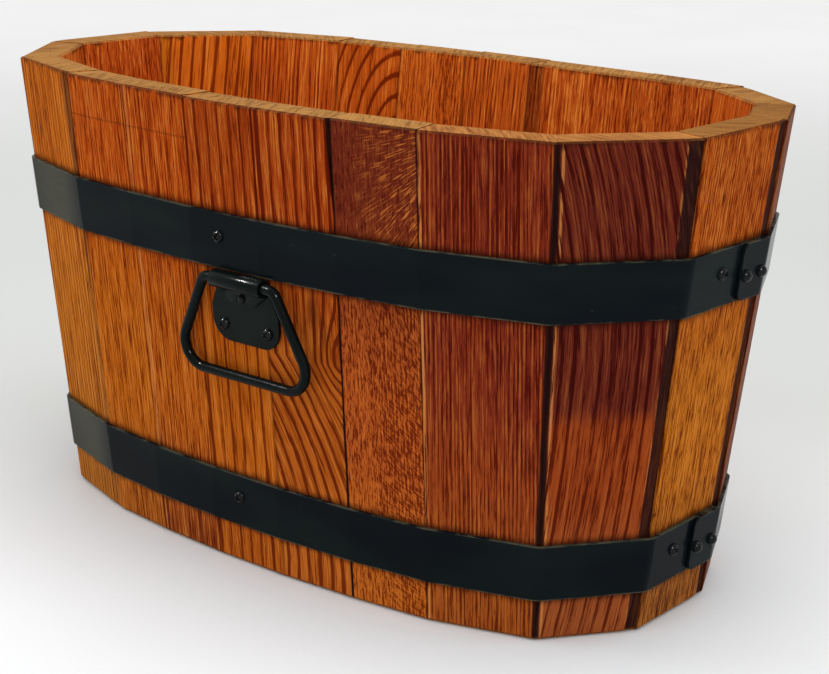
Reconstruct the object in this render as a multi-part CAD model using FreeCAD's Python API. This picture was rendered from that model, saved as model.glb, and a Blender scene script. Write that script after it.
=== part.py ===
import FreeCAD, Part
import math
import os

# Oval flower pot of flat, leaning wooden staves, drawn in by two lapped steel hoops,
# with a ring handle hinged on each long side. Millimetres and degrees, +Z up.
# The origin is on the ground under the middle, +X along the pot, the front at -Y.

# Tub
tub_height = 300.0
rim_overhang = 31.0
stave_thickness = 24.0
side_stave_width = 57.0
shoulder_stave_width = 80.0
end_stave_width = 84.0
tip_stave_width = 90.0
side_turn = 3.5
shoulder_turn = 11.0
# The back quarter next to the laps comes round in other, rounder steps
back_end_width = 62.0
back_shoulder_width = 71.0
back_end_angle = 24.5
back_shoulder_angle = 30.5
back_side_angle = 31.0
back_flat_angle = 3.3
arris_width = 0.6
arris_depth = 0.5
open_arris_width = 10.0
open_arris_depth = 1.6
rim_ease = 1.2
rim_step_height = 0.9
foot_ease = 2.0
open_joint_width = 4.0
open_joint_depth = 6.0
open_joint_run = 75.0
open_joint_start_share = 0.1

# Floor
floor_height = 30.0
floor_thickness = 18.0
croze_depth = 7.0
floor_clearance = 0.3
floor_board_count = 4
dowel_diameter = 8.0
dowel_length = 34.0
dowel_clearance = 0.1
dowel_end_gap = 0.5
dowel_place_share = 0.5
drain_diameter = 12.0
drain_place_share = 0.32

# Hoops
strap_width = 35.0
strap_thickness = 2.2
strap_bend_radius = 10.0
upper_hoop_height = 197.5
lower_hoop_height = 27.0
lap_reach = 33.0
lap_setback = 6.5
lap_gap = 0.3
lap_corner_radius = 6.0
lap_rivet_inset = 6.0
lap_rivet_spacing = 17.0
lap_rivet_drop = 2.5
lap_screw_distance = 18.0
hoop_screw_rise = 2.5
hoop_screw_offset = 4.0

# Fasteners
screw_head_diameter = 8.0
screw_head_height = 2.6
head_crown_share = 0.55
screw_shank_diameter = 4.0
screw_length = 18.0
rivet_head_diameter = 7.4
rivet_head_height = 2.8
rivet_shank_diameter = 4.0
fastener_clearance = 0.1

# Handles
handle_offset = 13.0
handle_hoop_lap = 0.6
ring_rod_diameter = 6.5
ring_top_width = 58.0
ring_bottom_width = 119.0
ring_drop = 61.0
ring_top_bend = 6.5
ring_bottom_bend = 15.0
bar_clearance = 0.3
barrel_width = 41.0
plate_thickness = 2.0
plate_width = 55.0
plate_drop = 40.6
plate_neck_drop = 3.0
plate_shoulder_drop = 18.0
plate_shoulder_radius = 9.0
plate_corner_radius = 14.0
plate_screw_spacing = 36.0
plate_screw_drop = 30.0
tongue_close_angle = 70.0
tongue_drop = 15.0
tongue_shoulder_drop = 6.0
tongue_tip_width = 18.0
tongue_tip_radius = 5.0
tongue_rivet_drop = 10.6
tongue_rivet_diameter = 5.0
tongue_rivet_height = 1.8
tongue_rivet_shank_diameter = 3.0

# Cuts run past their work by this much
overrun = 5.0

# Plan of the tub, worked out round from the middle of the front
quarter_angle = 90.0
end_turn = (quarter_angle - 2 * side_turn - shoulder_turn) / 2
quarter_headings = [0.0, side_turn, 2 * side_turn, 2 * side_turn + shoulder_turn,
                    quarter_angle - end_turn, quarter_angle]
quarter_widths = [side_stave_width, side_stave_width, side_stave_width,
                  shoulder_stave_width, end_stave_width, tip_stave_width]
half_headings = quarter_headings + [2 * quarter_angle - h for h in quarter_headings[-2:0:-1]]
half_widths = quarter_widths + quarter_widths[-2:0:-1]
back_headings = [quarter_angle + back_end_angle,
                 quarter_angle + back_end_angle + back_shoulder_angle,
                 quarter_angle + back_end_angle + back_shoulder_angle + back_side_angle,
                 quarter_angle + back_end_angle + back_shoulder_angle + back_side_angle + back_flat_angle]
headings = quarter_headings + back_headings + [h + 2 * quarter_angle for h in half_headings]
stave_count = len(headings)

front_stave = 0
lap_stave = len(quarter_headings) - 1
rear_stave = front_stave + stave_count // 2
far_tip_stave = lap_stave + stave_count // 2
# Staves whose leading edge is left with a wide open arris
open_staves = [lap_stave - 1, lap_stave, lap_stave + 2,
               far_tip_stave - 1, far_tip_stave, far_tip_stave + 2]
# The stave whose leading joint has opened towards the rim
gaping_stave = front_stave + 1
# How far each stave's top stays under the rim, as shares of the rim step
rim_step_shares = [0.9, 0.8, 0.2, 0.6, 0.3, 0.0, 0.4, 0.7, 0.2, 0.5,
                   0.1, 0.6, 0.9, 0.3, 0.5, 0.2, 0.6, 0.1, 0.5, 0.2]

lean = math.atan2(rim_overhang, tub_height)


def along_of(k):
    turn = math.radians(headings[k % stave_count])
    return FreeCAD.Vector(math.cos(turn), math.sin(turn), 0)


def outward_of(k):
    turn = math.radians(headings[k % stave_count])
    return FreeCAD.Vector(math.sin(turn), -math.cos(turn), 0)


def rim_reaches():
    # Distance from the middle to each stave's face, at the rim
    rise = sum(w * math.sin(math.radians(h)) for h, w in zip(quarter_headings, quarter_widths))
    first = FreeCAD.Vector(-side_stave_width / 2, tip_stave_width / 2 - rise, 0)
    corners = [first]
    for k, width in enumerate(quarter_widths + [back_end_width, back_shoulder_width]):
        corners.append(corners[k] + along_of(k) * width)
    # the stave before the rear one fills what is left, up to the rear stave's near corner
    corners += [first * -1, first * -1]
    for k, width in enumerate(half_widths[:-1]):
        corners.append(corners[rear_stave + k] + along_of(rear_stave + k) * width)
    return [corner.dot(outward_of(k)) for k, corner in enumerate(corners)]


rim_reach = rim_reaches()


def reach(k, z, out):
    # Distance from the middle to a stave's face at one height, moved out square to the face
    return rim_reach[k % stave_count] - rim_overhang * (1 - z / tub_height) + out / math.cos(lean)


def joint_point(k, z, before, after):
    # Where the faces of staves k - 1 and k meet at one height, each moved outwards
    n1 = outward_of(k - 1)
    n2 = outward_of(k)
    d1 = reach(k - 1, z, before)
    d2 = reach(k, z, after)
    det = n1.x * n2.y - n1.y * n2.x
    return FreeCAD.Vector((d1 * n2.y - d2 * n1.y) / det, (n1.x * d2 - n2.x * d1) / det, z)


def face_point(k, u, z, out):
    # A point of a stave's face, u along it from its middle line
    point = outward_of(k) * reach(k, z, out) + along_of(k) * u
    return FreeCAD.Vector(point.x, point.y, z)


def seat(k, u, z, out):
    # Frame on a stave's face: X along the stave's width, Y up its slope, Z straight out
    along = along_of(k)
    outward = outward_of(k)
    upward = FreeCAD.Vector(outward.x * math.sin(lean), outward.y * math.sin(lean), math.cos(lean))
    out_axis = along.cross(upward)
    place = face_point(k, u, z, out)
    rows = []
    for axis in ("x", "y", "z"):
        rows += [getattr(v, axis) for v in (along, upward, out_axis, place)]
    return FreeCAD.Placement(FreeCAD.Matrix(*rows, 0, 0, 0, 1))


def placed(shape, frame):
    result = shape.copy()
    result.Placement = frame.multiply(shape.Placement)
    return result


def turned_round(shape):
    result = shape.copy()
    result.rotate(FreeCAD.Vector(0, 0, 0), FreeCAD.Vector(0, 0, 1), 2 * quarter_angle)
    return result


def closed_polygon(points):
    return Part.makePolygon(points + points[:1])


def stacked_solid(outlines):
    # Solid with flat sides through outlines of equal point count, one above another
    faces = [Part.Face(closed_polygon(outlines[0])), Part.Face(closed_polygon(outlines[-1]))]
    for lower, upper in zip(outlines, outlines[1:]):
        for i in range(len(lower)):
            j = (i + 1) % len(lower)
            faces.append(Part.Face(closed_polygon([lower[i], lower[j], upper[j], upper[i]])))
    shell = Part.Shell(faces)
    shell.sewShape()
    solid = Part.Solid(shell)
    if solid.Volume < 0:
        solid.reverse()
    return solid


def walled_solid(lower, upper):
    # Solid between two like wires at two heights: flat walls on lines, bent ones on arcs
    faces = [Part.Face(lower), Part.Face(upper)]
    for low, high in zip(lower.Edges, upper.Edges):
        if isinstance(low.Curve, Part.Circle):
            faces.append(low.extrude(high.Vertexes[0].Point - low.Vertexes[0].Point))
        else:
            corners = [low.Vertexes[0], low.Vertexes[1], high.Vertexes[1], high.Vertexes[0]]
            faces.append(Part.Face(closed_polygon([corner.Point for corner in corners])))
    shell = Part.Shell(faces)
    shell.sewShape()
    solid = Part.Solid(shell)
    if solid.Volume < 0:
        solid.reverse()
    return solid


def rounded_wire(points, radii):
    # Closed wire through corners, each rounded by its own radius, or sharp at zero
    edges = []
    ends = []
    count = len(points)
    for i in range(count):
        here = points[i]
        if radii[i] == 0:
            ends.append((here, None, here))
            continue
        back = (points[i - 1] - here).normalize()
        ahead = (points[(i + 1) % count] - here).normalize()
        half = back.getAngle(ahead) / 2
        tangent = radii[i] / math.tan(half)
        middle = (back + ahead).normalize() * (radii[i] / math.sin(half) - radii[i])
        ends.append((here + back * tangent, here + middle, here + ahead * tangent))
    for i in range(count):
        first, middle, last = ends[i]
        if middle is not None:
            edges.append(Part.Arc(first, middle, last).toShape())
        edges.append(Part.LineSegment(last, ends[(i + 1) % count][0]).toShape())
    return Part.Wire(edges)


def headed_pin(head_diameter, head_height, shank_diameter, length):
    # Coned head standing on z = 0 and a shank going down from it
    head_radius = head_diameter / 2
    crown_radius = head_radius * head_crown_share
    shank_radius = shank_diameter / 2
    outline = [(0, head_height), (0, -length), (shank_radius, -length), (shank_radius, 0),
               (head_radius, 0), (crown_radius, head_height)]
    profile = Part.Face(closed_polygon([FreeCAD.Vector(x, 0, z) for x, z in outline]))
    return profile.revolve(FreeCAD.Vector(0, 0, 0), FreeCAD.Vector(0, 0, 1), 4 * quarter_angle)


def hole_tool(shank_diameter, length):
    radius = shank_diameter / 2 + fastener_clearance
    start = FreeCAD.Vector(0, 0, -length - fastener_clearance)
    return Part.makeCylinder(radius, length + fastener_clearance + overrun, start)


# Staves

def stave_outline(k, z, trim):
    # Section of a stave at one height, its two faces drawn in by trim
    outer = -trim
    inner = trim - stave_thickness
    lead_width = open_arris_width if k in open_staves else arris_width
    lead_depth = open_arris_depth if k in open_staves else arris_depth
    along = along_of(k)
    start_u = joint_point(k, z, outer, outer).dot(along)
    end_u = joint_point(k + 1, z, outer, outer).dot(along)
    return [joint_point(k, z, outer - arris_depth, outer - arris_depth),
            face_point(k, start_u + arris_width, z, outer),
            face_point(k, end_u - lead_width, z, outer),
            joint_point(k + 1, z, outer - lead_depth, outer - lead_depth),
            joint_point(k + 1, z, inner, inner),
            joint_point(k, z, inner, inner)]


def stave(k):
    top = tub_height - rim_step_height * rim_step_shares[k]
    levels = [(0.0, foot_ease), (foot_ease, 0.0), (top - rim_ease, 0.0), (top, rim_ease)]
    return stacked_solid([stave_outline(k, z, trim) for z, trim in levels])


def joint_opening(k):
    # Wedge off a stave's leading edge, from nothing to its full width at the rim
    def section(z, share):
        end_u = joint_point(k + 1, z, 0, 0).dot(along_of(k)) - open_joint_width * share
        inset = open_joint_depth * share
        return [joint_point(k + 1, z, overrun, overrun), joint_point(k + 1, z, -inset, -inset),
                face_point(k, end_u, z, 0), face_point(k, end_u, z, overrun)]

    start = tub_height - open_joint_run * (1 - open_joint_start_share)
    top = tub_height + overrun
    return stacked_solid([section(start, open_joint_start_share),
                          section(top, 1 + overrun / open_joint_run)])


def floor_prism(edge_out, height):
    points = [joint_point(k, floor_height, edge_out, edge_out) for k in range(stave_count)]
    return Part.Face(closed_polygon(points)).extrude(FreeCAD.Vector(0, 0, height))


# Floor

def floor_parts():
    whole = floor_prism(croze_depth - floor_clearance - stave_thickness, floor_thickness)
    box = whole.BoundBox
    board_width = box.YLength / floor_board_count
    level = floor_height + floor_thickness / 2
    dowels = []
    drains = []
    for i in range(1, floor_board_count):
        y = box.YMin + i * board_width
        for side in (-1, 1):
            start = FreeCAD.Vector(side * dowel_place_share * box.XMax, y - dowel_length / 2, level)
            dowels.append((start, dowel_length))
    for i in range(1, floor_board_count - 1):
        y = box.YMin + (i + 1 / 2) * board_width
        for side in (-1, 1):
            start = FreeCAD.Vector(side * drain_place_share * box.XMax, y, floor_height - overrun)
            drains.append(Part.makeCylinder(drain_diameter / 2, floor_thickness + 2 * overrun, start))
    across = FreeCAD.Vector(0, 1, 0)
    cuts = list(drains)
    for start, length in dowels:
        cuts.append(Part.makeCylinder(dowel_diameter / 2 + dowel_clearance, length + 2 * dowel_end_gap,
                                      start - across * dowel_end_gap, across))
    pins = [Part.makeCylinder(dowel_diameter / 2, length, start, across) for start, length in dowels]
    boards = []
    for i in range(floor_board_count):
        corner = FreeCAD.Vector(box.XMin, box.YMin + i * board_width, floor_height)
        strip = Part.makeBox(box.XLength, board_width, floor_thickness, corner)
        boards.append(whole.common(strip).cut(cuts))
    return boards, Part.makeCompound(pins)


# Hoops

def lap_corner_u(hoop_height):
    level = hoop_height + strap_width / 2
    return joint_point(lap_stave + 1, level, 0, 0).dot(along_of(lap_stave))


def strap_wire(hoop_height, z):
    # Plan of a strap that starts on the lap stave, goes round and ends over itself
    corner_u = lap_corner_u(hoop_height)
    inner_lift = strap_thickness + lap_gap
    outer_lift = inner_lift + strap_thickness
    inside = [face_point(lap_stave, corner_u - lap_reach, z, inner_lift)]
    outside = [face_point(lap_stave, corner_u - lap_reach, z, outer_lift)]
    bends = [0.0]
    for k in range(lap_stave + 1, lap_stave + 1 + stave_count):
        lapped = k == lap_stave + 1
        inside.append(joint_point(k, z, inner_lift if lapped else 0, 0))
        outside.append(joint_point(k, z, outer_lift if lapped else strap_thickness, strap_thickness))
        turn = (headings[k % stave_count] - headings[(k - 1) % stave_count]) % (4 * quarter_angle)
        bends.append(strap_bend_radius if turn > 2 * side_turn else 0.0)
    # the inner end stops short of the lap stave's far corner
    inside.append(face_point(lap_stave, corner_u - lap_setback, z, 0))
    outside.append(face_point(lap_stave, corner_u - lap_setback, z, strap_thickness))
    bends.append(0.0)
    points = inside + outside[::-1]
    return rounded_wire(points, [0.0] * len(inside) + bends[::-1])


def hoop(hoop_height, cuts):
    strap = walled_solid(strap_wire(hoop_height, hoop_height),
                         strap_wire(hoop_height, hoop_height + strap_width))
    lap_end = lap_corner_u(hoop_height) - lap_reach
    corners = []
    for edge in strap.Edges:
        level = {round(v.Z, 3) for v in edge.Vertexes}
        at_end = all(abs(v.Point.dot(along_of(lap_stave)) - lap_end) < fastener_clearance
                     and v.X > 0 for v in edge.Vertexes)
        if at_end and len(level) == 1:
            corners.append(edge)
    return strap.makeFillet(lap_corner_radius, corners).cut(cuts)


def hoop_fasteners(hoop_height):
    # Seats of one hoop's screws and rivets
    level = hoop_height + strap_width / 2
    lap_end = lap_corner_u(hoop_height) - lap_reach
    screw_level = level + hoop_screw_rise
    screw_places = [(front_stave, -hoop_screw_offset), (lap_stave, lap_end - lap_screw_distance),
                    (rear_stave, hoop_screw_offset), (far_tip_stave, 0.0)]
    screws = [(k, seat(k, u, screw_level, strap_thickness)) for k, u in screw_places]
    rivet_out = 2 * strap_thickness + lap_gap
    first = lap_end + lap_rivet_inset
    rivets = [seat(lap_stave, u, level - lap_rivet_drop, rivet_out)
              for u in (first, first + lap_rivet_spacing)]
    return screws, rivets


# Handles, each built on the front and turned half round for the rear

bore_radius = ring_rod_diameter / 2 + bar_clearance
barrel_radius = bore_radius + plate_thickness
axis_level = upper_hoop_height + handle_hoop_lap - barrel_radius
handle_seat = seat(front_stave, handle_offset, axis_level, 0)
axis_point = handle_seat.multVec(FreeCAD.Vector(0, 0, barrel_radius))


def plate_leaf():
    half = plate_width / 2
    neck = barrel_width / 2
    right = [(neck, 0.0, 0.0), (neck, -plate_neck_drop, 0.0),
             (half, -plate_shoulder_drop, plate_shoulder_radius), (half, -plate_drop, plate_corner_radius)]
    outline = right + [(-x, y, r) for x, y, r in right[::-1]]
    wire = rounded_wire([FreeCAD.Vector(x, y, 0) for x, y, r in outline], [r for x, y, r in outline])
    return Part.Face(wire).extrude(FreeCAD.Vector(0, 0, plate_thickness))


def rolled_tongue():
    # Sheet rolled up from the leaf, over the bar and back down onto the leaf's front
    close = -math.radians(tongue_close_angle)

    def on_roll(radius, angle):
        return FreeCAD.Vector(0, radius * math.sin(angle), barrel_radius + radius * math.cos(angle))

    def down_to(point, level):
        run = (level - point.z) / math.sin(close)
        return FreeCAD.Vector(0, point.y - run * math.cos(close), level)

    outer = on_roll(barrel_radius, close)
    inner = on_roll(bore_radius, close)
    top = math.pi / 2
    back = math.pi
    front_face = 2 * plate_thickness
    corners = [outer, down_to(outer, front_face), FreeCAD.Vector(0, -tongue_drop, front_face),
               FreeCAD.Vector(0, -tongue_drop, plate_thickness), down_to(inner, plate_thickness), inner]
    edges = [Part.Arc(on_roll(barrel_radius, back), on_roll(barrel_radius, top), outer).toShape()]
    edges += [Part.LineSegment(a, b).toShape() for a, b in zip(corners, corners[1:])]
    edges.append(Part.Arc(inner, on_roll(bore_radius, top), on_roll(bore_radius, back)).toShape())
    edges.append(Part.LineSegment(on_roll(bore_radius, back), on_roll(barrel_radius, back)).toShape())
    roll = Part.Face(Part.Wire(edges)).extrude(FreeCAD.Vector(barrel_width, 0, 0))
    roll.translate(FreeCAD.Vector(-barrel_width / 2, 0, 0))
    half = barrel_width / 2
    tip = tongue_tip_width / 2
    right = [(half, barrel_radius + overrun, 0.0), (half, -tongue_shoulder_drop, 0.0),
             (tip, -tongue_drop, tongue_tip_radius)]
    outline = right + [(-x, y, r) for x, y, r in right[::-1]]
    wire = rounded_wire([FreeCAD.Vector(x, y, -overrun) for x, y, r in outline], [r for x, y, r in outline])
    return roll.common(Part.Face(wire).extrude(FreeCAD.Vector(0, 0, 2 * barrel_radius + 2 * overrun)))


def handle_fasteners():
    # Local seats on the plate: two screws, and the rivet through the tongue
    half = plate_screw_spacing / 2
    screws = [FreeCAD.Placement(FreeCAD.Vector(x, -plate_screw_drop, plate_thickness), FreeCAD.Rotation())
              for x in (-half, half)]
    rivet = FreeCAD.Placement(FreeCAD.Vector(0, -tongue_rivet_drop, 2 * plate_thickness), FreeCAD.Rotation())
    return screws, rivet


def handle_ring():
    # Closed ring of round rod, hanging along the wall from its top bar
    top = ring_top_width / 2
    bottom = ring_bottom_width / 2
    corners = [(-top, 0.0), (-bottom, -ring_drop), (bottom, -ring_drop), (top, 0.0)]
    points = [handle_seat.multVec(FreeCAD.Vector(x, y, barrel_radius)) for x, y in corners]
    path = rounded_wire(points, [ring_top_bend, ring_bottom_bend, ring_bottom_bend, ring_top_bend])
    start = path.Edges[0].Vertexes[0].Point
    section = Part.Wire(Part.makeCircle(ring_rod_diameter / 2, start, path.Edges[0].tangentAt(0)))
    return path.makePipeShell([section], True, False)


# Assembly

screw = headed_pin(screw_head_diameter, screw_head_height, screw_shank_diameter, screw_length)
screw_hole = hole_tool(screw_shank_diameter, screw_length)
rivet_grip = 2 * strap_thickness + lap_gap
rivet = headed_pin(rivet_head_diameter, rivet_head_height, rivet_shank_diameter, rivet_grip)
rivet_hole = hole_tool(rivet_shank_diameter, rivet_grip)

nodes = {}
stave_cuts = {k: [floor_prism(croze_depth - stave_thickness, floor_thickness + floor_clearance)]
              for k in range(stave_count)}

for name, hoop_height in (("upper_hoop", upper_hoop_height), ("lower_hoop", lower_hoop_height)):
    screw_seats, rivet_seats = hoop_fasteners(hoop_height)
    screw_holes = [placed(screw_hole, frame) for k, frame in screw_seats]
    rivet_holes = [placed(rivet_hole, frame) for frame in rivet_seats]
    nodes[name] = hoop(hoop_height, screw_holes + rivet_holes)
    nodes[name + "_screws"] = Part.makeCompound([placed(screw, frame) for k, frame in screw_seats])
    nodes[name + "_rivets"] = Part.makeCompound([placed(rivet, frame) for frame in rivet_seats])
    for (k, frame), hole in zip(screw_seats, screw_holes):
        stave_cuts[k].append(hole)

plate_screw_seats, tongue_seat = handle_fasteners()
tongue_rivet = headed_pin(tongue_rivet_diameter, tongue_rivet_height, tongue_rivet_shank_diameter,
                          2 * plate_thickness)
plate_holes = [placed(screw_hole, frame) for frame in plate_screw_seats]
tongue_hole = placed(hole_tool(tongue_rivet_shank_diameter, 2 * plate_thickness), tongue_seat)
plate = plate_leaf().fuse(rolled_tongue()).removeSplitter().cut(plate_holes + [tongue_hole])
front_handle = {
    "front_handle_plate": placed(plate, handle_seat),
    "front_handle_ring": handle_ring(),
    "front_handle_screws": Part.makeCompound([placed(placed(screw, frame), handle_seat)
                                              for frame in plate_screw_seats]),
    "front_handle_rivet": placed(placed(tongue_rivet, tongue_seat), handle_seat),
}
for name, shape in front_handle.items():
    nodes[name] = shape
    nodes[name.replace("front", "rear")] = turned_round(shape)
for hole in plate_holes:
    front_hole = placed(hole, handle_seat)
    for k in (front_stave, front_stave + 1, front_stave - 1):
        stave_cuts[k % stave_count].append(front_hole)
        stave_cuts[(k + rear_stave) % stave_count].append(turned_round(front_hole))

stave_cuts[gaping_stave].append(joint_opening(gaping_stave))
for k in range(stave_count):
    nodes["stave_%02d" % (k + 1)] = stave(k).cut(stave_cuts[k])

boards, nodes["floor_dowels"] = floor_parts()
for i, board in enumerate(boards):
    nodes["floor_board_%d" % (i + 1)] = board

os.makedirs("parts", exist_ok=True)
for name, shape in nodes.items():
    shape.exportStep("parts/%s.step" % name)
print("%d nodes, handle bar at %s" % (len(nodes), axis_point))
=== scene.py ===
import math

import bmesh
import bpy
from mathutils import Matrix, Vector


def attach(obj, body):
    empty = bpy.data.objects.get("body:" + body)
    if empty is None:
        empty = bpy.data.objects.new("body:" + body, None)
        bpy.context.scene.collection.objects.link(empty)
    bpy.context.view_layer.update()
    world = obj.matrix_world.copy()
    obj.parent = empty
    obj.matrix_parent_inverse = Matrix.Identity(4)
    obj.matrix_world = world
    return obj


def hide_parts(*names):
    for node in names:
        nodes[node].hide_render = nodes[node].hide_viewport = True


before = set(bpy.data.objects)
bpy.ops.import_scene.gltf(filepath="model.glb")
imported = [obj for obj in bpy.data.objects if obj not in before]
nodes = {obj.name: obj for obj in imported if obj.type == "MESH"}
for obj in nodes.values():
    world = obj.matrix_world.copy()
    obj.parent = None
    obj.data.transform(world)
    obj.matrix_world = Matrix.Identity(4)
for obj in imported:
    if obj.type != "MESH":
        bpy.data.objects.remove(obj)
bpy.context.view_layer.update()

print("frame loaded,", len(nodes), "nodes")


def paint(red, green, blue):  # a screen colour from 0 to 255, made linear
    parts = []
    for part in (red, green, blue):
        part = part / 255
        parts.append(part / 12.92 if part < 0.04045 else ((part + 0.055) / 1.055) ** 2.4)
    return (*parts, 1.0)


# Plan of the tub, in metres and degrees: flat staves, counted round from the middle of the front

tub = {
    "height": 0.300,
    "overhang": 0.031,
    "sideWidth": 0.057,
    "shoulderWidth": 0.080,
    "endWidth": 0.084,
    "tipWidth": 0.090,
    "sideTurn": 3.5,
    "shoulderTurn": 11.0,
    "backEndWidth": 0.062,
    "backShoulderWidth": 0.071,
    "backTurns": (24.5, 30.5, 31.0, 3.3),
}
hoops = {
    "upper": {"low": 0.1975, "high": 0.2325},
    "lower": {"low": 0.0270, "high": 0.0620},
}
lean = math.atan2(tub["overhang"], tub["height"])


def planOfStaves():
    side = tub["sideTurn"]
    shoulder = 2 * side + tub["shoulderTurn"]
    quarter = [0, side, 2 * side, shoulder, 90 - (90 - shoulder) / 2, 90]
    widths = [tub["sideWidth"]] * 3 + [tub["shoulderWidth"], tub["endWidth"], tub["tipWidth"]]
    half = quarter + [180 - turn for turn in quarter[-2:0:-1]]
    halfWidths = widths + widths[-2:0:-1]
    back = [90 + sum(tub["backTurns"][:step + 1]) for step in range(len(tub["backTurns"]))]
    headings = [math.radians(turn) for turn in quarter + back + [turn + 180 for turn in half]]
    alongs = [Vector((math.cos(turn), math.sin(turn))) for turn in headings]
    rise = sum(width * along.y for width, along in zip(widths, alongs))
    first = Vector((-widths[0] / 2, widths[-1] / 2 - rise))
    corners = [first]
    for along, width in zip(alongs, widths + [tub["backEndWidth"], tub["backShoulderWidth"]]):
        corners.append(corners[-1] + along * width)
    corners += [-first, -first]  # the stave before the rear one fills what is left
    for along, width in zip(alongs[len(half):], halfWidths[:-1]):
        corners.append(corners[-1] + along * width)
    staves = []
    for along, corner in zip(alongs, corners):
        outward = Vector((along.y, -along.x))
        staves.append({"along": along, "outward": outward, "reach": corner.dot(outward)})
    return staves


staves = planOfStaves()


def edgeOf(index, other, height):  # how far along a stave its joint with a neighbour is
    drop = tub["overhang"] * (1 - height / tub["height"])
    own = staves[index]
    near = staves[other % len(staves)]
    d1 = own["reach"] - drop
    d2 = near["reach"] - drop
    n1 = own["outward"]
    n2 = near["outward"]
    det = n1.x * n2.y - n1.y * n2.x
    point = Vector(((d1 * n2.y - d2 * n1.y) / det, (n1.x * d2 - n2.x * d1) / det))
    return point.dot(own["along"])


def mitreOf(index, other):  # how far a joint comes in for each metre of thickness
    turn = staves[index]["outward"].angle(staves[other % len(staves)]["outward"])
    return math.tan(turn / 2)


def seatOf(index, along, height, out):  # a point on a stave's face, and the way out of it
    stave = staves[index]
    reach = stave["reach"] - tub["overhang"] * (1 - height / tub["height"]) + out / math.cos(lean)
    flat = stave["outward"] * reach + stave["along"] * along
    outAxis = Vector((stave["outward"].x * math.cos(lean), stave["outward"].y * math.cos(lean),
                      -math.sin(lean)))
    return Vector((flat.x, flat.y, height)), outAxis


# Node sums

class Wire:
    def __init__(self, tree, socket=None):
        self.tree = tree
        self.socket = socket

    def node(self, kind, settings, sockets, output=0):
        made = self.tree.nodes.new(kind)
        for key, value in settings.items():
            setattr(made, key, value)
        for key, value in sockets.items():
            if isinstance(value, Wire):
                self.tree.links.new(value.socket, made.inputs[key])
            else:
                made.inputs[key].default_value = value
        return Wire(self.tree, made.outputs[output])

    def maths(self, operation, first, second=0.0):
        return self.node("ShaderNodeMath", {"operation": operation}, {0: first, 1: second})

    def __add__(self, other):
        return self.maths("ADD", self, other)

    def __radd__(self, other):
        return self.maths("ADD", other, self)

    def __sub__(self, other):
        return self.maths("SUBTRACT", self, other)

    def __rsub__(self, other):
        return self.maths("SUBTRACT", other, self)

    def __mul__(self, other):
        return self.maths("MULTIPLY", self, other)

    def __rmul__(self, other):
        return self.maths("MULTIPLY", other, self)

    def __truediv__(self, other):
        return self.maths("DIVIDE", self, other)

    def __rtruediv__(self, other):
        return self.maths("DIVIDE", other, self)

    def __pow__(self, other):
        return self.maths("POWER", self, other)


def fade(value, low, high):  # smooth step from 0 at low to 1 at high, either way round
    return value.node("ShaderNodeMapRange", {"interpolation_type": "SMOOTHSTEP"},
                      {"Value": value, "From Min": low, "From Max": high})


def larger(first, second):
    return first.maths("MAXIMUM", first, second)


def blend(factor, first, second):
    return factor.node("ShaderNodeMix", {"data_type": "RGBA"}, {0: factor, 6: first, 7: second}, 2)


def noise(place, stretch, detail=2.0, roughness=0.5):
    scaled = place.node("ShaderNodeVectorMath", {"operation": "MULTIPLY"}, {0: place, 1: stretch})
    return place.node("ShaderNodeTexNoise", {},
                      {"Vector": scaled, "Scale": 1.0, "Detail": detail, "Roughness": roughness})


def parts(vector):
    split = vector.tree.nodes.new("ShaderNodeSeparateXYZ")
    vector.tree.links.new(vector.socket, split.inputs[0])
    return [Wire(vector.tree, output) for output in split.outputs]


def newMaterial(name):
    material = bpy.data.materials.new(name)
    material.use_nodes = True
    material.node_tree.nodes.clear()
    return material, Wire(material.node_tree)


def finishMaterial(material, surface):
    output = material.node_tree.nodes.new("ShaderNodeOutputMaterial")
    material.node_tree.links.new(surface.socket, output.inputs["Surface"])
    return material


def objectPlace(start):
    return start.node("ShaderNodeTexCoord", {}, {}, "Object")


# Stave wood: ring lines, threads, pores, flecks, dark joints, painted shade with some stain beside the
# hoops, and pale end grain

woodFinish = {
    "deepShares": (0.34, 0.20, 0.25),
    "goldColour": paint(206, 128, 52),
    "fleckColour": paint(198, 112, 46),
    "paleColour": paint(202, 130, 68),
    "bandColour": paint(36, 16, 16),
    "seamAndShadeColour": paint(24, 12, 12),
    "stainAndShadeColour": paint(44, 15, 8),
    "endPale": paint(170, 121, 62),
    "endDark": paint(104, 60, 24),
    # painted light: the inner faces are coloured brighter to make up for the shade inside the tub
    "innerLightLift": (0.60, 0.75, 0.65),
    "innerPale": paint(196, 112, 26),
    "innerCalm": 0.35,
    "outerDepth": (0.006, 0.003),  # marks of the outer face fade out between these depths
    "innerDepth": (0.012, 0.020),  # and those of the inner face begin between these
    "jointFade": (0.0014, 0.0003),
    "hoopShadeAndStainReach": 0.006,
    "bandWidth": 0.0094,
    "bandHeights": (0.16, 0.24),  # a dark band's lower and upper strength meet between these
    "footHeights": (0.03, 0.10),
    "rimDarkHeights": (0.2965, 0.3000),
    "gapShadeHeights": (0.222, 0.232),
    "gapShadeDepths": (0.0003, 0.0011),
    "gapShadeWidths": (0.0058, 0.0040),
    "lowerBow": 0.35,
    "rimTurn": 0.5,
    "roughness": 0.42,
    "poreRoughness": 0.14,
    "endRoughness": 0.15,
    "gloss": 0.008,
    "bump": 0.3,
    "bumpDepth": 0.0005,
}
grainStretch = {  # how many times each pattern repeats in a metre: across, through, along
    "wander": (16, 16, 3),
    "ripple": (140, 140, 30),
    "threads": (760, 760, 9),
    "dashes": 840,
    "pores": 900,
    "broad": (120, 120, 4),
    "mottle": (13, 13, 8),
    "grit": (800, 800, 300),
}

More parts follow.
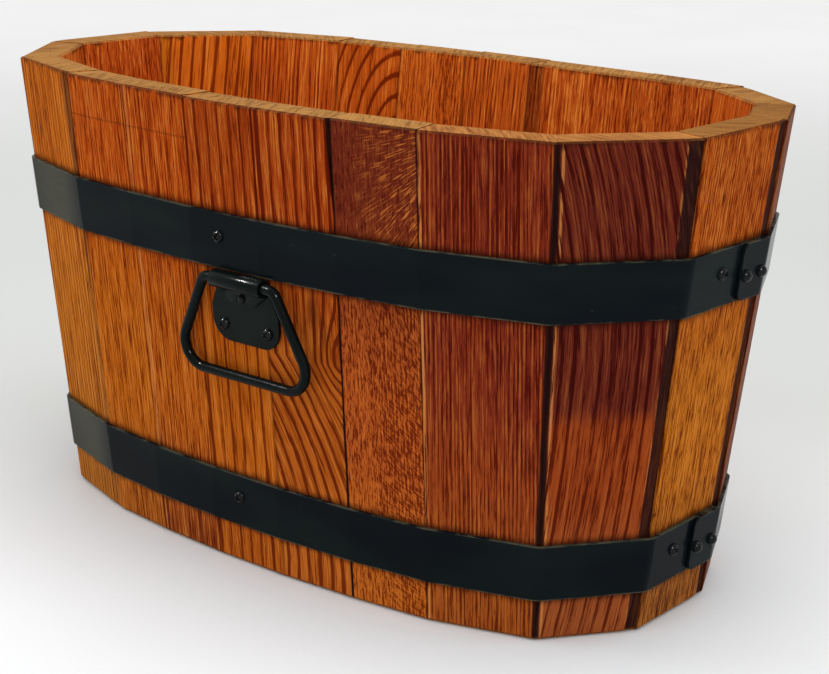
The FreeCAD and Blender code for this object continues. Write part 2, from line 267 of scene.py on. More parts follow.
plainLook = {
    "top": (160, 68, 17), "middle": (164, 78, 19), "foot": (148, 72, 22),
    "spacing": 0.005, "line": 0.26, "tilt": 0.5, "pivot": 0.15, "slope": 0.0, "slopeDown": 0.0,
    "slopeBow": 0.0, "bow": 0.0, "eye": None, "wander": 0.006, "ripple": 0.0009, "lines": 0.45,
    "pores": 0.30, "threads": 1.0, "dashes": 1.0, "dash": 40, "broad": 0.5, "pale": 0.15, "mottle": 0.5,
    "joint": 0.35, "seams": (0.0, 0.0), "paleLeft": (0.0, 0.0), "paleShare": 0.6, "endLines": 0.5,
    "rimShares": (1.0, 1.0, 1.0), "darkens": (0.13, 0.26), "innerLines": 0.45, "innerStrip": 0.0,
    "innerShade": 0.0, "gold": 0.55, "scars": (), "saw": 0.0, "crown": None, "flecks": False,
    "band": False, "bandShares": (1.0, 1.0), "gap": False,
}
staveLooks = {
    # front, from the left end of the photograph to its right end
    "stave_18": {"top": (188, 97, 4), "middle": (181, 101, 11), "foot": (166, 98, 24), "spacing": 0.0044,
                 "lines": 0.75, "line": 0.30, "wander": 0.005, "tilt": 0.9, "band": True,
                 "bandShares": (0.30, 0.68), "scars": ((-0.020, 0.256, 0.0024, 0.0055, 0.6),)},
    "stave_19": {"top": (173, 71, 10), "middle": (175, 88, 10), "foot": (154, 78, 18), "spacing": 0.0030,
                 "lines": 0.15, "pores": 0.4, "threads": 1.0, "dashes": 1.2, "dash": 46, "tilt": -0.8,
                 "joint": 0.25, "saw": 0.2757},
    "stave_20": {"top": (168, 67, 11), "middle": (168, 79, 12), "foot": (143, 65, 22), "spacing": 0.0038,
                 "lines": 0.25, "pores": 0.4, "threads": 1.1, "dashes": 1.2, "dash": 42,
                 "paleLeft": (-0.001, 0.006), "paleShare": 0.3, "tilt": -1.0, "joint": 0.15, "saw": 0.2757},
    "stave_01": {"top": (150, 58, 12), "middle": (172, 85, 15), "foot": (172, 85, 21), "spacing": 0.0092,
                 "lines": 0.75, "line": 0.28, "ripple": 0.0014, "threads": 0.5, "dashes": 0.9, "tilt": -1.1,
                 "endLines": 0.9, "joint": 0.2},
    "stave_02": {"top": (152, 58, 14), "middle": (162, 78, 20), "foot": (182, 95, 30), "spacing": 0.0086,
                 "lines": 0.9, "line": 0.38, "pivot": 0.152, "slopeDown": -0.75, "slopeBow": 2.7,
                 "eye": (0.024, 0.158, 0.012, 0.020, 0.013), "wander": 0.012, "ripple": 0.0030,
                 "threads": 0.6, "dashes": 0.9, "tilt": -1.3, "endLines": 0.9, "gap": True,
                 "seams": (0.0, 0.0009),
                 "scars": ((0.009, 0.184, 0.005, 0.012, 0.55), (0.017, 0.166, 0.003, 0.010, 0.4))},
    "stave_03": {"top": (102, 36, 20), "middle": (168, 78, 28), "foot": (184, 96, 30), "spacing": 0.0024,
                 "lines": 0.10, "pores": 0.45, "threads": 0.6, "dashes": 1.5, "dash": 130, "flecks": True,
                 "gold": 0.30, "endLines": 0.3, "joint": 0.4, "seams": (0.0007, 0.0005)},
    "stave_04": {"top": (120, 42, 22), "middle": (143, 61, 25), "foot": (156, 78, 28), "spacing": 0.0025,
                 "gold": 0.3, "lines": 0.40, "line": 0.50, "dashes": 1.0, "dash": 45, "wander": 0.003,
                 "ripple": 0.0004,
                 "paleLeft": (-0.0002, 0.0025), "paleShare": 0.75, "endLines": 0.1, "joint": 0.4,
                 "seams": (0.0, 0.0024), "rimShares": (1.1, 0.92, 0.85), "darkens": (0.09, 0.15)},
    "stave_05": {"top": (97, 35, 23), "middle": (142, 60, 23), "foot": (146, 74, 36), "spacing": 0.0076,
                 "gold": 0.15, "lines": 0.60, "line": 0.34, "threads": 0.7, "dashes": 1.0, "dash": 40,
                 "bow": 1.3, "pivot": 0.17, "ripple": 0.0014, "band": True, "paleLeft": (0.0026, 0.0048),
                 "endLines": 0.1, "joint": 0.5, "seams": (0.0028, 0.0), "rimShares": (1.08, 0.92, 0.85),
                 "darkens": (0.132, 0.148)},
    "stave_06": {"top": (160, 69, 11), "middle": (178, 100, 18), "foot": (128, 72, 28), "spacing": 0.0026,
                 "lines": 0.22, "pores": 0.5, "dashes": 1.3, "dash": 70, "band": True, "endLines": 0.15,
                 "rimShares": (0.74, 0.66, 0.52),
                 "scars": ((-0.0165, 0.2635, 0.0016, 0.0042, 0.7),
                           (-0.0368, 0.0764, 0.0011, 0.0015, 0.9))},
    "stave_07": {"top": (108, 46, 28), "middle": (106, 44, 26), "foot": (96, 44, 24), "spacing": 0.0040,
                 "lines": 0.4, "endLines": 0.15, "rimShares": (0.74, 0.66, 0.52)},
    # back, not in the photograph but for the inner faces near the rim
    "stave_08": {"top": (156, 66, 17), "spacing": 0.0034, "lines": 0.35, "band": True},
    "stave_09": {"top": (150, 62, 17), "spacing": 0.0030, "lines": 0.4, "dashes": 1.3, "dash": 90},
    "stave_10": {"top": (152, 62, 16), "spacing": 0.0032, "lines": 0.4, "dashes": 1.2, "dash": 80,
                 "innerShade": 0.014},
    "stave_11": {"top": (160, 70, 19), "spacing": 0.0030, "lines": 0.45, "pores": 0.4},
    "stave_12": {"top": (162, 72, 18), "spacing": 0.0026, "lines": 0.4, "mottle": 0.9,
                 "dashes": 1.3, "dash": 90},
    "stave_13": {"top": (160, 69, 16), "spacing": 0.0084, "lines": 0.8, "line": 0.28, "threads": 0.7,
                 "crown": (-0.016, 0.232, 0.55), "innerLines": 1.0},
    "stave_14": {"top": (156, 64, 16), "spacing": 0.0034, "lines": 0.6, "innerLines": 0.8},
    "stave_15": {"top": (172, 80, 16), "spacing": 0.0088, "lines": 0.9, "line": 0.26, "threads": 0.6,
                 "dashes": 0.8, "slope": 0.10, "innerLines": 1.0, "innerStrip": 0.009, "band": True},
    "stave_16": {"top": (148, 58, 16), "spacing": 0.0034, "lines": 0.35, "dashes": 1.2, "dash": 80,
                 "band": True},
    "stave_17": {"top": (150, 66, 18), "spacing": 0.0050, "lines": 0.45},
}


def shaded(colour, shares):
    return (*(min(part * share, 1.0) for part, share in zip(colour, shares)), 1.0)


def mixed(first, second, share):
    return (*(one + (two - one) * share for one, two in zip(first[:3], second[:3])), 1.0)


def staveWood(name, look):
    index = int(name.split("_")[1]) - 1
    stave = staves[index]
    leftLow, leftHigh = edgeOf(index, index - 1, 0.0), edgeOf(index, index - 1, tub["height"])
    rightLow, rightHigh = edgeOf(index, index + 1, 0.0), edgeOf(index, index + 1, tub["height"])
    centre = (leftLow + leftHigh + rightLow + rightHigh) / 4
    origin, outAxis = seatOf(index, centre, 0.0, 0.0)
    along = Vector((stave["along"].x, stave["along"].y, 0.0))
    turn = Matrix((along, -outAxis, along.cross(-outAxis)))
    material, start = newMaterial(name + "Wood")
    world = objectPlace(start)
    place = start.node("ShaderNodeMapping", {}, {
        "Vector": world, "Rotation": turn.to_euler("XYZ"), "Location": -(turn @ origin)})
    across, depth, rise = parts(place)
    height = parts(world)[2]
    shifted = start.node("ShaderNodeVectorMath", {"operation": "ADD"},
                         {0: place, 1: (index * 1.7, index * 0.9, index * 2.3)})

    # distance to the two joints, whose lines slope with the taper
    leftMitre, rightMitre = mitreOf(index, index - 1), mitreOf(index, index + 1)
    leftSlope = (leftHigh - leftLow) / tub["height"]
    rightSlope = (rightHigh - rightLow) / tub["height"]
    fromLeft = across - (leftLow - centre + height * leftSlope) - depth * leftMitre
    fromRight = (rightLow - centre + height * rightSlope) - across - depth * rightMitre
    outer = fade(depth, *woodFinish["outerDepth"])
    inner = fade(depth, *woodFinish["innerDepth"])

    # ring lines through the board's thickness
    wander = noise(shifted, grainStretch["wander"], 1.0) - 0.5
    ripple = noise(shifted, grainStretch["ripple"], 2.0) - 0.5
    ringAt = across + depth * look["tilt"] + wander * look["wander"] + ripple * look["ripple"]
    above = rise - look["pivot"]
    below = larger(0.0 - above, 0.0)
    stray = None  # how far the fibres run sideways from straight
    if look["slope"]:
        stray = above * look["slope"]
    if look["slopeDown"]:
        stray = below * look["slopeDown"] + below ** 2 * look["slopeBow"]
    if look["bow"]:
        stray = (larger(above, 0.0) ** 2 + woodFinish["lowerBow"] * below ** 2) * look["bow"]
    if stray:
        ringAt = ringAt + stray
        strayed = start.node("ShaderNodeCombineXYZ", {}, {0: stray})
        shifted = start.node("ShaderNodeVectorMath", {"operation": "ADD"}, {0: shifted, 1: strayed})
    if look["eye"]:
        eyeAcross, eyeRise, eyeWide, eyeTall, eyePush = look["eye"]
        away = ((across - eyeAcross) / eyeWide) ** 2 + ((rise - eyeRise) / eyeTall) ** 2
        eye = start.maths("EXPONENT", 0.0 - away)
        ringAt = ringAt + eye * eyePush
    if look["crown"]:
        crownAcross, crownRise, crownSquash = look["crown"]
        arch = larger(rise - crownRise, 0.0) * crownSquash
        ringAt = ((ringAt - crownAcross) ** 2 + arch ** 2) ** 0.5
    count = ringAt / look["spacing"] + 40.0
    year = start.maths("FLOOR", count)
    ring = start.maths("FRACT", count)
    tone = start.node("ShaderNodeTexWhiteNoise", {"noise_dimensions": "1D"}, {"W": year}, 0)
    lines = larger(fade(ring, look["line"], look["line"] * 0.4), fade(ring, 0.95, 1.0))
    lines = lines * (0.45 + 0.7 * tone)
    late = fade(ring, look["line"], 0.65) * fade(ring, 0.97, 0.8)
    lineShare = 1.0 - inner * (1.0 - look["innerLines"])

    # long threads, short dashes and pores along the grain, added up to one tone from deep to light
    fine, finest = grainStretch["dashes"], grainStretch["pores"]
    threads = noise(shifted, grainStretch["threads"], 2.0, 0.65)
    dashes = noise(shifted, (fine, fine, look["dash"]), 3.0, 0.7)
    pores = fade(noise(shifted, (finest, finest, look["dash"] * 0.8), 2.0, 0.6), 0.54, 0.62)
    broad = noise(shifted, grainStretch["broad"], 2.0)
    mottle = noise(shifted, grainStretch["mottle"], 3.0)
    grain = (threads - 0.5) * (2.3 * look["threads"]) + (dashes - 0.5) * (2.5 * look["dashes"])
    grain = 0.53 + grain * (1.0 - woodFinish["innerCalm"] * inner)
    grain = grain + (broad - 0.5) * look["broad"] + (mottle - 0.5) * look["mottle"]
    grain = grain + late * tone * look["pale"]
    grain = grain - lines * (0.35 + 1.2 * dashes) * look["lines"] * lineShare - pores * look["pores"]
    if look["eye"]:
        grain = grain - eye * 0.2
    if look["flecks"]:
        strokes, dents, calm = fleckGrain(start, across, depth, rise)
        grain = 0.40 + (grain - 0.40) * (1.0 - 0.50 * calm) - dents

    tones = []
    for key in ("foot", "middle", "top"):
        middle = paint(*look[key])
        tones.append([shaded(middle, woodFinish["deepShares"]), middle,
                      mixed(middle, woodFinish["goldColour"], look["gold"])])
    lift = fade(rise, *woodFinish["footHeights"])
    peak = fade(rise + ripple * 0.012, *look["darkens"])
    deep, mid, light = (blend(peak, blend(lift, foot, middle), top) for foot, middle, top in zip(*tones))
    colour = blend(fade(grain, 0.52, 1.0), blend(fade(grain, 0.0, 0.5), deep, mid), light)
    if look["flecks"]:
        colour = blend(strokes * outer, colour, woodFinish["fleckColour"])
    # painted light: a brighter copy of the wood colour for the inner faces
    litInner = start.node("ShaderNodeVectorMath", {"operation": "MULTIPLY"},
                        {0: colour, 1: tuple(1.0 + share for share in woodFinish["innerLightLift"])})
    colour = blend(inner, colour, litInner)
    if look["innerStrip"]:
        strip = fade(fromRight + ripple * 0.002, look["innerStrip"], look["innerStrip"] - 0.001) * inner
        colour = blend(strip * fade(grain, 0.2, 0.6) * 0.8, colour, woodFinish["innerPale"])
    if look["innerShade"]:
        shade = fade(fromRight + ripple * 0.004, look["innerShade"], look["innerShade"] * 0.7) * inner
        colour = blend(shade * 0.5, colour, woodFinish["stainAndShadeColour"])

    # pale streaks, dark joints, painted shade in open arrises, and painted shade with some stain along the
    # hoops
    ragged = wander * 0.004 + ripple * 0.0022
    paleFrom, paleTo = look["paleLeft"]
    if paleTo:
        reach = fromLeft + ripple * 0.0012
        strip = fade(reach, paleFrom, paleFrom + 0.0005) * fade(reach, paleTo, paleTo - 0.0008)
        strip = strip * fade(grain, 0.1, 0.5) * outer * look["paleShare"]
        colour = blend(strip, colour, woodFinish["paleColour"])
    edges = larger(fade(fromLeft + ragged, *woodFinish["jointFade"]),
                   fade(fromRight + ragged, *woodFinish["jointFade"]))
    colour = blend(edges * (outer * look["joint"] + inner * 0.5), colour, woodFinish["stainAndShadeColour"])
    for gap, side in zip(look["seams"], (fromLeft, fromRight)):
        if gap:
            seam = fade(side + ragged * 0.6, gap * 1.25, gap * 0.6) * outer
            colour = blend(seam * 0.94, colour, woodFinish["seamAndShadeColour"])
    if look["band"]:
        wide = woodFinish["bandWidth"] * (0.75 + 0.25 * fade(rise, 0.18, 0.29))
        reach = fromRight + ragged - wide
        rim = fade(reach, 0.0020, 0.0008) * outer
        colour = blend(rim * 0.4 * fade(grain, 0.3, 0.6), colour, woodFinish["paleColour"])
        band = fade(reach, 0.0010, 0.0) * outer
        low, high = look["bandShares"]
        share = low + fade(rise, *woodFinish["bandHeights"]) * (high - low)
        colour = blend(band * share * (0.70 + 0.45 * threads), colour, woodFinish["bandColour"])
    # painted shade: the open wedge at the top of the joint is coloured near-black, as if its faces were in
    # shade
    if look["gap"]:
        gap = fade(depth, *woodFinish["gapShadeDepths"]) * fade(fromRight, *woodFinish["gapShadeWidths"])
        gap = gap * fade(rise, *woodFinish["gapShadeHeights"])
        colour = blend(gap * 0.95, colour, woodFinish["seamAndShadeColour"])
    for scarAcross, scarRise, scarWide, scarTall, share in look["scars"]:
        beside = (across - scarAcross + ripple * 0.003) / scarWide
        gone = beside ** 2 + ((rise - scarRise) / scarTall) ** 2
        scar = start.maths("EXPONENT", 0.0 - gone) * outer * share
        colour = blend(scar, colour, woodFinish["stainAndShadeColour"])
    if look["saw"]:
        cut = fade(start.maths("ABSOLUTE", rise - look["saw"] + wander * 0.002), 0.0010, 0.0002)
        colour = blend(cut * fade(dashes, 0.35, 0.6) * outer * 0.5, colour, woodFinish["stainAndShadeColour"])
    # painted shade with some varnish stain: the wood darkens towards the hoops' edges
    away = None
    for hoop in hoops.values():
        beside = start.maths("ABSOLUTE", height - (hoop["low"] + hoop["high"]) / 2)
        beside = beside - (hoop["high"] - hoop["low"]) / 2
        away = beside if away is None else start.maths("MINIMUM", away, beside)
    hoopShadeAndStain = fade(away + ripple * 0.006, woodFinish["hoopShadeAndStainReach"], 0.0) ** 1.4 * outer
    colour = blend(hoopShadeAndStain * (0.35 + 0.6 * dashes), colour, woodFinish["stainAndShadeColour"])
    # partly chips and partly painted shade: a dark irregular line just under the rim on the outer and inner
    # faces
    rimChipsAndShade = fade(height + ripple * 0.010 + wander * 0.006, *woodFinish["rimDarkHeights"]) * (outer + inner)
    colour = blend(rimChipsAndShade * 0.7, colour, woodFinish["stainAndShadeColour"])

    # end grain on the rim and foot: slanted strokes across the thickness, and fine grit
    facing = start.node("ShaderNodeNewGeometry", {}, {}, "Normal")
    ends = fade(start.maths("ABSOLUTE", parts(facing)[2]), 0.6, 0.85)
    slanted = start.node("ShaderNodeCombineXYZ", {}, {
        0: (across + depth * woodFinish["rimTurn"]) * 420, 1: depth * 50, 2: float(index)})
    strokes = start.node("ShaderNodeTexNoise", {}, {"Vector": slanted, "Scale": 1.0, "Detail": 2.0})
    grit = noise(shifted, grainStretch["grit"], 2.0, 0.6)
    tint = 0.62 + (strokes - 0.5) * 1.6 + (grit - 0.5) * 0.9 + (mottle - 0.5) * 0.8
    endDark = shaded(woodFinish["endDark"], look["rimShares"])
    endColour = blend(fade(tint, 0.1, 0.9), endDark, shaded(woodFinish["endPale"], look["rimShares"]))
    endColour = blend(lines * look["endLines"] * 0.8, endColour, endDark)
    outerLip = fade(depth + ripple * 0.002, 0.0018, 0.0004) * 0.5
    endColour = blend(outerLip, endColour, woodFinish["stainAndShadeColour"])
    colour = blend(ends, colour, endColour)

    roughness = woodFinish["roughness"] + woodFinish["poreRoughness"] * pores
    roughness = roughness + woodFinish["endRoughness"] * ends
    relief = 0.6 * dashes + 0.4 * threads - 0.5 * pores - 0.5 * lines + 0.6 * ends * strokes
    normal = start.node("ShaderNodeBump", {}, {
        "Strength": woodFinish["bump"], "Distance": woodFinish["bumpDepth"], "Height": relief})
    surface = start.node("ShaderNodeBsdfPrincipled", {}, {
        "Base Color": colour, "Roughness": roughness, "Normal": normal,
        "Specular IOR Level": woodFinish["gloss"]})
    return finishMaterial(material, surface)


rayFlecks = {  # a fan above the upper hoop, arcs that curve down below it
    "fanCentre": (0.075, 0.310),
    "arcCentre": (0.120, 0.250),
    "fanTurns": 92.0,
    "fanLengths": 95,
    "arcWidths": 800,
    "arcTurns": 20.0,
    "depths": 90,
    "upperHeights": (0.205, 0.22),
    "lowerHeights": (0.215, 0.20),
    "fanSide": (-0.022, 0.024),
    "arcSide": (-0.014, 0.012),
    "fanShare": 0.75,
    "arcShare": 0.42,
}


def fleckGrain(start, across, depth, rise):
    def polar(centre):
        acrossBy, riseBy = across - centre[0], rise - centre[1]
        turn = start.maths("ARCTAN2", centre[1] - rise, centre[0] - across)
        return (acrossBy ** 2 + riseBy ** 2) ** 0.5, turn

    def fleck(first, second):
        place = start.node("ShaderNodeCombineXYZ", {},
                           {0: first, 1: second, 2: depth * rayFlecks["depths"]})
        return start.node("ShaderNodeTexNoise", {}, {"Vector": place, "Scale": 1.0, "Detail": 1.0})

    fan, fanTurn = polar(rayFlecks["fanCentre"])
    arc, arcTurn = polar(rayFlecks["arcCentre"])
    upperFleck = fleck(fanTurn * rayFlecks["fanTurns"], fan * rayFlecks["fanLengths"])
    lowerFleck = fleck(arc * rayFlecks["arcWidths"], arcTurn * rayFlecks["arcTurns"])
    calm = fade(rise, *rayFlecks["upperHeights"])
    strokes = fade(upperFleck, 0.53, 0.68) * calm * fade(across, *rayFlecks["fanSide"])
    dents = fade(lowerFleck, 0.56, 0.42) * fade(rise, *rayFlecks["lowerHeights"])
    dents = dents * (0.3 + 0.7 * fade(across, *rayFlecks["arcSide"]))
    return strokes * rayFlecks["fanShare"], dents * rayFlecks["arcShare"], calm


for name, look in staveLooks.items():
    nodes[name].data.materials.clear()
    nodes[name].data.materials.append(staveWood(name, {**plainLook, **look}))
print("staves dressed")


# Floor boards and dowels

floorLook = {
    "pale": paint(168, 92, 36),
    "dark": paint(112, 52, 18),
    "pore": paint(58, 24, 10),
    "spacing": 0.006,
    "roughness": 0.55,
}


def boardWood(name, seed):
    material, start = newMaterial(name + "Wood")
    place = start.node("ShaderNodeVectorMath", {"operation": "ADD"},
                       {0: objectPlace(start), 1: (seed * 3.1, 0.0, seed * 0.7)})
    along, across, up = parts(place)
    wander = noise(place, (3, 18, 18), 1.0) - 0.5
    count = (across + up * 0.6 + wander * 0.014) / floorLook["spacing"]
    ring = start.maths("FRACT", count + 40.0)
    lines = fade(ring, 0.3, 0.0) + fade(ring, 0.92, 1.0)
    pores = fade(noise(place, (45, 700, 700), 2.0, 0.6), 0.5, 0.66)
    mottle = noise(place, (6, 14, 14), 2.0)
    colour = blend(fade(mottle, 0.3, 0.7) * 0.5, floorLook["pale"], floorLook["dark"])
    colour = blend(start.maths("MINIMUM", lines, 1.0) * 0.6, colour, floorLook["dark"])
    colour = blend(pores * 0.5, colour, floorLook["pore"])
    normal = start.node("ShaderNodeBump", {}, {
        "Strength": 0.4, "Distance": 0.0004, "Height": 1.0 - pores - 0.3 * lines})
    surface = start.node("ShaderNodeBsdfPrincipled", {}, {
        "Base Color": colour, "Roughness": floorLook["roughness"] + 0.2 * pores, "Normal": normal,
        "Specular IOR Level": 0.3})
    return finishMaterial(material, surface)


floorNodes = ("floor_board_1", "floor_board_2", "floor_board_3", "floor_board_4", "floor_dowels")
for count, name in enumerate(floorNodes):
    nodes[name].data.materials.clear()
    nodes[name].data.materials.append(boardWood(name, count + 1))
print("floor dressed")


# Hoop and handle paint

hoopLook = {
    "colour": paint(12, 17, 21),
    "mottled": paint(20, 29, 28),
    "wornAndHighlight": paint(112, 106, 82),
    "paintedSheen": paint(60, 59, 46),
    "edgeWearAndHighlightWidth": 0.0010,
    "roughness": 0.16,
    "gloss": 0.03,
    "bump": 0.12,
    "bumpDepth": 0.0003,
    "sheenStave": 17,  # painted reflection: the strap shows an olive-grey sheen on the left end's front stave
}
handleLook = {
    "colour": paint(7, 13, 12),
    "mottled": paint(14, 25, 21),
    "wornAndHighlight": paint(96, 92, 78),
    "roughness": 0.10,
    "gloss": 0.06,
    "bump": 0.15,
    "bumpDepth": 0.0003,
}
fastenerLook = {
    "colour": paint(12, 14, 14),
    "mottled": paint(22, 25, 23),
    # pale specks on the heads: partly worn plating and partly painted highlights
    "wornAndHighlight": paint(190, 186, 170),
    "roughness": 0.10,
    "gloss": 0.14,
    "bump": 0.15,
    "bumpDepth": 0.0003,
}


def hoopPaint(name, hoop):
    material, start = newMaterial(name)
    place = objectPlace(start)
    lengthwise, sideways, height = parts(place)
    level = (hoop["low"] + hoop["high"]) / 2
    paintedSheen = hoopLook["sheenStave"]
    sheenEnd = seatOf(paintedSheen, edgeOf(paintedSheen, paintedSheen + 1, level), level, 0.0)[0]
    sheenFar = seatOf(paintedSheen, edgeOf(paintedSheen, paintedSheen - 1, level), level, 0.0)[0]
    cloud = noise(place, (9, 9, 30), 3.0)
    grit = noise(place, (700, 700, 700), 2.0)
    scuff = noise(place, (60, 60, 260), 3.0, 0.65)
    colour = blend(fade(cloud, 0.4, 0.7) * 0.6, hoopLook["colour"], hoopLook["mottled"])
    # painted reflection: an olive-grey grazing sheen laid over the strap on the left end's front stave
    sheen = fade(lengthwise, sheenEnd.x + 0.004, sheenEnd.x - 0.026) * fade(sideways, 0.0, -0.03)
    sheen = sheen * fade(sideways, sheenFar.y + 0.012, sheenFar.y - 0.014)
    colour = blend(sheen * (0.6 + 0.5 * scuff), colour, hoopLook["paintedSheen"])
    fromLow = height - hoop["low"]
    fromHigh = hoop["high"] - height
    # the strap's top and bottom edges: partly worn paint and partly a painted highlight along the rolled
    # edge
    edgeWearAndHighlight = larger(*(fade(side, hoopLook["edgeWearAndHighlightWidth"], 0.0002) for side in (fromLow, fromHigh)))
    wearAndHighlight = edgeWearAndHighlight * fade(scuff, 0.38, 0.6)
    colour = blend(wearAndHighlight * 0.4, colour, hoopLook["wornAndHighlight"])
    colour = blend(fade(scuff, 0.72, 0.8) * 0.25, colour, hoopLook["wornAndHighlight"])
    roughness = hoopLook["roughness"] + 0.12 * fade(cloud, 0.35, 0.7) + 0.15 * wearAndHighlight
    normal = start.node("ShaderNodeBump", {}, {
        "Strength": hoopLook["bump"], "Distance": hoopLook["bumpDepth"], "Height": grit + cloud})
    surface = start.node("ShaderNodeBsdfPrincipled", {}, {
        "Base Color": colour, "Roughness": roughness, "Normal": normal,
        "Specular IOR Level": hoopLook["gloss"]})
    return finishMaterial(material, surface)


def handlePaint(name, look):
    material, start = newMaterial(name)
    place = objectPlace(start)
    cloud = noise(place, (40, 40, 40), 3.0)
    grit = noise(place, (500, 500, 500), 2.0)
    scuff = noise(place, (130, 130, 130), 3.0, 0.65)
    colour = blend(fade(cloud, 0.4, 0.7) * 0.6, look["colour"], look["mottled"])
    # pale scuffs; on the screw and rivet heads they are partly painted highlights
    colour = blend(fade(scuff, 0.68, 0.78) * 0.3, colour, look["wornAndHighlight"])
    roughness = look["roughness"] + 0.15 * fade(cloud, 0.35, 0.75) + 0.1 * scuff
    normal = start.node("ShaderNodeBump", {}, {
        "Strength": look["bump"], "Distance": look["bumpDepth"], "Height": grit + 2.0 * cloud})
    surface = start.node("ShaderNodeBsdfPrincipled", {}, {
        "Base Color": colour, "Roughness": roughness, "Normal": normal,
        "Specular IOR Level": look["gloss"]})
    return finishMaterial(material, surface)


upperPaint = hoopPaint("upperHoopPaint", hoops["upper"])
lowerPaint = hoopPaint("lowerHoopPaint", hoops["lower"])
platePaint = handlePaint("handlePaint", handleLook)
fastenerPaint = handlePaint("fastenerPaint", fastenerLook)


def softened(mesh, angle):
    for polygon in mesh.polygons:
        polygon.use_smooth = True
    mesh.set_sharp_from_angle(angle=math.radians(angle))


def addPiece(name, mesh, body, slot, *stoodFor):
    piece = bpy.data.objects.new(name, mesh)
    bpy.context.scene.collection.objects.link(piece)
    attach(piece, body)
    if stoodFor:
        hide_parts(*stoodFor)
    return piece


# Rolled edges on the strap and the handle plates

easing = {
    "strapEase": 0.0005,
    "plateEase": 0.0004,
    "mergeReach": 1e-6,
    "flatTurn": 0.6,  # degrees between faces that are made one
    "sharpTurn": 0.9,  # radians at an edge that is rolled
    "smoothTurn": 50,
    "flatArea": 0.0002,  # faces larger than this, in square metres, are flat
}
easedPieces = [
    ("upper_hoop", "upperHoopStrap", "hoop_paint", upperPaint, easing["strapEase"]),
    ("lower_hoop", "lowerHoopStrap", "hoop_paint", lowerPaint, easing["strapEase"]),
    ("front_handle_plate", "frontHandleLeaf", "handle_paint", platePaint, easing["plateEase"]),
    ("rear_handle_plate", "rearHandleLeaf", "handle_paint", platePaint, easing["plateEase"]),
]


def easedMesh(source, ease):
    shape = bmesh.new()
    shape.from_mesh(source)
    bmesh.ops.remove_doubles(shape, verts=shape.verts, dist=easing["mergeReach"])
    bmesh.ops.dissolve_limit(shape, angle_limit=math.radians(easing["flatTurn"]),
                             verts=shape.verts, edges=shape.edges)
    sharp = [edge for edge in shape.edges if len(edge.link_faces) == 2
             and edge.calc_face_angle() > easing["sharpTurn"] and edge.is_convex]
    bmesh.ops.bevel(shape, geom=sharp, offset=ease, segments=2, profile=0.5, affect="EDGES",
                    clamp_overlap=True)
    mesh = bpy.data.meshes.new("eased")
    shape.to_mesh(mesh)
    shape.free()
    return mesh


for node, piece, slot, coat, ease in easedPieces:
    mesh = easedMesh(nodes[node].data, ease)
    mesh.materials.clear()
    mesh.materials.append(coat)
    softened(mesh, easing["smoothTurn"])
    for polygon in mesh.polygons:
        polygon.use_smooth = polygon.area < easing["flatArea"]
    addPiece(piece, mesh, "tub", slot, node)
print("straps and plates eased")

for name in ("front_handle_ring", "rear_handle_ring"):
    nodes[name].data.materials.clear()
    nodes[name].data.materials.append(platePaint)


# Screws and rivets, set out on their seats by nodes

lap = {
    "stave": 5,
    "reach": 0.033,
    "rivetInset": 0.006,
    "rivetSpacing": 0.017,
    "rivetDrop": 0.0025,
    "screwDistance": 0.018,
    "screwRise": 0.0025,
    "screwOffset": 0.004,
    "thickness": 0.0022,
    "gap": 0.0003,
}
handle = {
    "offset": 0.013,
    "axisLevel": 0.19255,
    "plate": 0.002,
    "screwSpacing": 0.036,
    "screwDrop": 0.030,
    "rivetDrop": 0.0106,
}
screwSizes = {
    "Head Diameter": 0.008,
    "Head Height": 0.0030,
    "Recess Span": 0.0046,
    "Recess Width": 0.0011,
    "Recess Depth": 0.0016,
    "Shank Diameter": 0.004,
    "Shank Length": 0.0178,
}
rivetSizes = {
    "Head Diameter": 0.0076,
    "Head Height": 0.0036,
    "Shank Diameter": 0.004,
    "Shank Length": 0.0046,
}
tongueRivetSizes = {
    "Head Diameter": 0.0050,
    "Head Height": 0.0019,
    "Shank Diameter": 0.003,
    "Shank Length": 0.004,
}
headDetail = {"segments": 28, "rings": 16, "shankSides": 20, "smoothTurn": 35}


